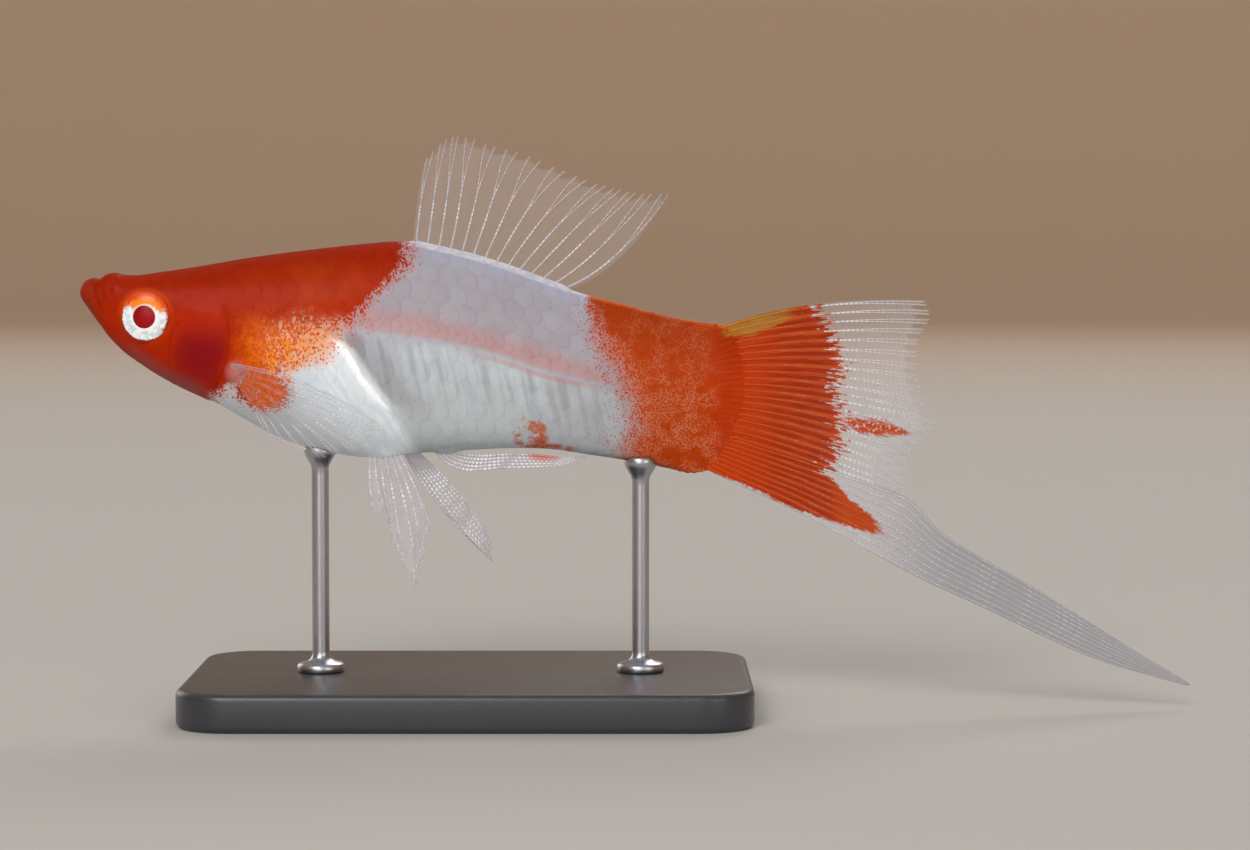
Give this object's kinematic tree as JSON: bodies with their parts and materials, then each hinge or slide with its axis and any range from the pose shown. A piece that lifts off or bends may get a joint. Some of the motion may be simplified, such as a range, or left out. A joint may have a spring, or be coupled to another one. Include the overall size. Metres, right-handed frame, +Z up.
{
  "type": "swordtail fish",
  "caption": "Male swordtail fish in red and white with a long sword on its lower tail, held in a swimming pose on a flat display stand.",
  "frame": {"origin": "centre of the stand base's underside, on the floor", "axes": "+X from the snout to the tip of the sword, +Y to the fish's right side, +Z up"},
  "size_m": [0.1029, 0.032, 0.0531],
  "materials": {
    "red_skin": "wet gloss",
    "pale_skin": "wet gloss with a silver sheen",
    "clear_fin": "clear wet gloss",
    "orange_fin": "wet gloss",
    "eye": "wet silver",
    "stand_base": "satin",
    "stand_rod": "brushed"
  },
  "bodies": {
    "root": {"head": "red_skin", "trunk": "pale_skin", "tail_stalk": "red_skin", "eye_left": "eye", "eye_right": "eye", "dorsal_fin": "clear_fin", "caudal_fin": "orange_fin", "sword": "clear_fin", "gonopodium": "clear_fin", "pectoral_fin_left": "clear_fin", "pectoral_fin_right": "clear_fin", "pelvic_fin_left": "clear_fin", "pelvic_fin_right": "clear_fin", "stand_base": "stand_base", "stand_rod_front": "stand_rod", "stand_rod_rear": "stand_rod"}
  },
  "joints": []
}
